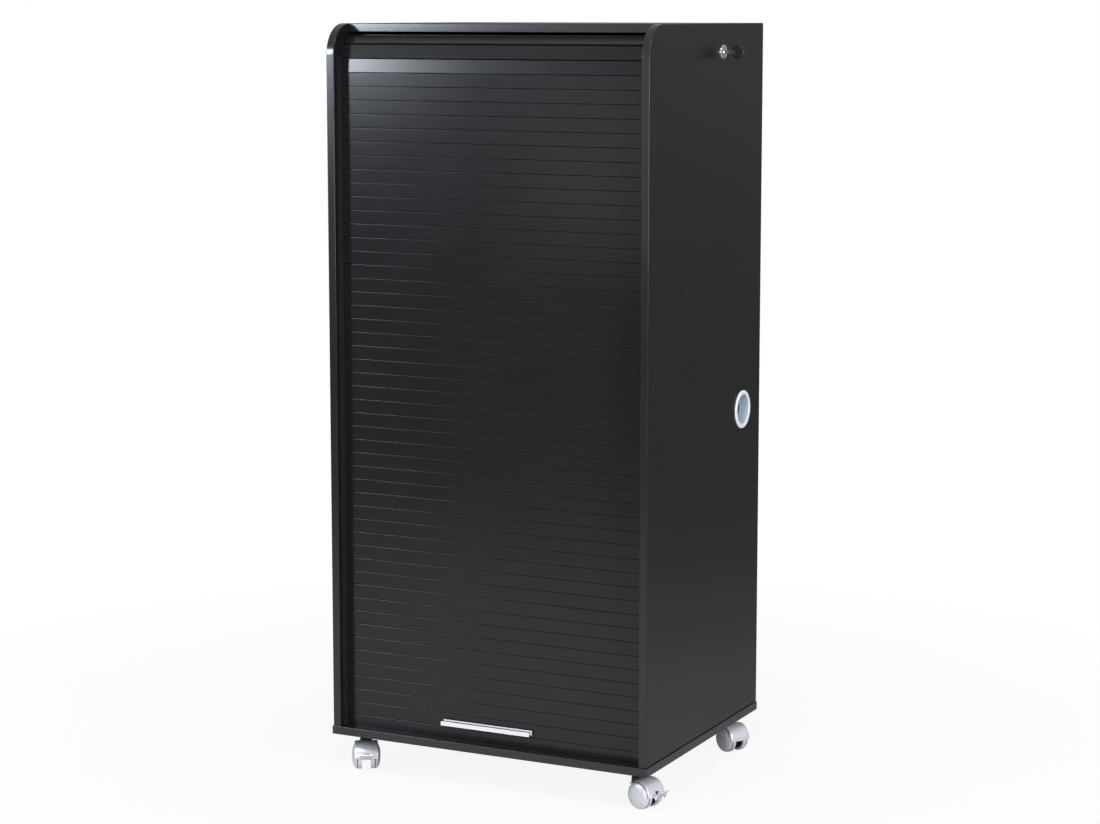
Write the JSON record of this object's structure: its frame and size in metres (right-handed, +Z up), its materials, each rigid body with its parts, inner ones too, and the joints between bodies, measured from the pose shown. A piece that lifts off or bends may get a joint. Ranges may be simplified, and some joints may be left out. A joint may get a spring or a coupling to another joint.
{
  "type": "computer cabinet",
  "caption": "Tall narrow computer cabinet with a full-height roll shutter, desk shelf and adjustable shelves inside, a side lock, a cable outlet and swivel casters with brakes.",
  "frame": {"origin": "centre of the base board's footprint, on the floor under the caster wheels", "axes": "+Z up, the shutter faces -Y, the lock and cable outlet are in the +X side"},
  "size_m": [0.708, 0.5405, 1.43],
  "materials": {
    "panel_black": "satin black melamine-faced board",
    "back_board": "matt black hardboard",
    "slat_black": "satin black extruded plastic",
    "canvas_black": "black woven canvas",
    "track_black": "black extruded plastic",
    "handle_aluminium": "satin anodised",
    "grommet_white": "off-white moulded plastic",
    "zinc_steel": "zinc plated",
    "lock_chrome": "polished chrome plate",
    "key_steel": "nickel plated",
    "key_black": "black moulded plastic",
    "caster_dark": "dark plated steel",
    "caster_silver": "silver-grey moulded plastic",
    "lever_silver": "light silver-grey moulded plastic",
    "axle_steel": "bright steel"
  },
  "bodies": {
    "cabinet": {"side_left": "panel_black", "side_right": "panel_black", "base_board": "panel_black", "top_board": "panel_black", "back_panel": "back_board", "inner_ceiling": "panel_black", "inner_back": "panel_black", "desk_shelf": "panel_black", "upper_shelf": "panel_black", "lower_shelf": "panel_black", "shelf_pins": "zinc_steel", "track_left": "track_black", "track_right": "track_black", "cable_grommet": "grommet_white", "cam_locks": "zinc_steel", "cam_bolts": "zinc_steel", "base_screws": "zinc_steel", "shutter_slats_top": "slat_black", "shutter_canvas_top": "canvas_black", "lock_housing": "lock_chrome", "lock_nut": "zinc_steel", "lock_strike": "zinc_steel", "caster_plates": "caster_dark", "caster_stems": "caster_dark", "caster_screws": "zinc_steel"},
    "shutter": {"shutter_slats": "slat_black", "shutter_canvas": "canvas_black", "handle_slat": "slat_black", "bottom_rail": "slat_black", "shutter_handle": "handle_aluminium", "handle_screws": "zinc_steel"},
    "lock_cylinder": {"lock_plug": "lock_chrome", "lock_cam": "zinc_steel", "cam_screw": "zinc_steel", "key_blade": "key_steel", "key_head": "key_black"},
    "caster_front_left": {"hood_front_left": "caster_silver", "axle_front_left": "axle_steel", "brake_pin_front_left": "axle_steel"},
    "wheel_front_left_a": {"wheel_front_left_a": "caster_silver"},
    "wheel_front_left_b": {"wheel_front_left_b": "caster_silver"},
    "brake_front_left": {"brake_lever_front_left": "lever_silver"},
    "caster_front_right": {"hood_front_right": "caster_silver", "axle_front_right": "axle_steel", "brake_pin_front_right": "axle_steel"},
    "wheel_front_right_a": {"wheel_front_right_a": "caster_silver"},
    "wheel_front_right_b": {"wheel_front_right_b": "caster_silver"},
    "brake_front_right": {"brake_lever_front_right": "lever_silver"},
    "caster_rear_left": {"hood_rear_left": "caster_silver", "axle_rear_left": "axle_steel"},
    "wheel_rear_left_a": {"wheel_rear_left_a": "caster_silver"},
    "wheel_rear_left_b": {"wheel_rear_left_b": "caster_silver"},
    "caster_rear_right": {"hood_rear_right": "caster_silver", "axle_rear_right": "axle_steel"},
    "wheel_rear_right_a": {"wheel_rear_right_a": "caster_silver"},
    "wheel_rear_right_b": {"wheel_rear_right_b": "caster_silver"}
  },
  "joints": [
    {"name": "shutter_slide", "type": "slide", "parent": "cabinet", "child": "shutter", "axis": [0, 0, 1], "range_m": [0, 1.2], "deforming": ["shutter_slats", "shutter_canvas"]},
    {"name": "lock_turn", "type": "hinge", "parent": "cabinet", "child": "lock_cylinder", "pos_m": [0.3, 0.0685, 1.377], "axis": [1, 0, 0], "range_deg": [0, 90]},
    {"name": "swivel_front_left", "type": "hinge", "parent": "cabinet", "child": "caster_front_left", "pos_m": [-0.29, -0.211, 0.05], "axis": [0, 0, 1], "continuous": true},
    {"name": "roll_front_left_a", "type": "hinge", "parent": "caster_front_left", "child": "wheel_front_left_a", "pos_m": [-0.28076, -0.22645, 0.026], "axis": [0.8581, 0.5135, 0], "continuous": true},
    {"name": "roll_front_left_b", "type": "hinge", "parent": "caster_front_left", "child": "wheel_front_left_b", "pos_m": [-0.28076, -0.22645, 0.026], "axis": [0.8581, 0.5135, 0], "continuous": true},
    {"name": "brake_front_left", "type": "hinge", "parent": "caster_front_left", "child": "brake_front_left", "pos_m": [-0.27048, -0.24361, 0.029], "axis": [0.8581, 0.5135, 0], "range_deg": [0, 20]},
    {"name": "swivel_front_right", "type": "hinge", "parent": "cabinet", "child": "caster_front_right", "pos_m": [0.29, -0.211, 0.05], "axis": [0, 0, 1], "continuous": true},
    {"name": "roll_front_right_a", "type": "hinge", "parent": "caster_front_right", "child": "wheel_front_right_a", "pos_m": [0.30724, -0.21617, 0.026], "axis": [0.2874, 0.9578, 0], "continuous": true},
    {"name": "roll_front_right_b", "type": "hinge", "parent": "caster_front_right", "child": "wheel_front_right_b", "pos_m": [0.30724, -0.21617, 0.026], "axis": [0.2874, 0.9578, 0], "continuous": true},
    {"name": "brake_front_right", "type": "hinge", "parent": "caster_front_right", "child": "brake_front_right", "pos_m": [0.3264, -0.22192, 0.029], "axis": [0.2874, 0.9578, 0], "range_deg": [0, 20]},
    {"name": "swivel_rear_left", "type": "hinge", "parent": "cabinet", "child": "caster_rear_left", "pos_m": [-0.29, 0.211, 0.05], "axis": [0, 0, 1], "continuous": true},
    {"name": "roll_rear_left_a", "type": "hinge", "parent": "caster_rear_left", "child": "wheel_rear_left_a", "pos_m": [-0.30032, 0.22575, 0.026], "axis": [-0.8192, -0.5736, 0], "continuous": true},
    {"name": "roll_rear_left_b", "type": "hinge", "parent": "caster_rear_left", "child": "wheel_rear_left_b", "pos_m": [-0.30032, 0.22575, 0.026], "axis": [-0.8192, -0.5736, 0], "continuous": true},
    {"name": "swivel_rear_right", "type": "hinge", "parent": "cabinet", "child": "caster_rear_right", "pos_m": [0.29, 0.211, 0.05], "axis": [0, 0, 1], "continuous": true},
    {"name": "roll_rear_right_a", "type": "hinge", "parent": "caster_rear_right", "child": "wheel_rear_right_a", "pos_m": [0.30571, 0.20222, 0.026], "axis": [0.4879, 0.8729, 0], "continuous": true},
    {"name": "roll_rear_right_b", "type": "hinge", "parent": "caster_rear_right", "child": "wheel_rear_right_b", "pos_m": [0.30571, 0.20222, 0.026], "axis": [0.4879, 0.8729, 0], "continuous": true}
  ]
}
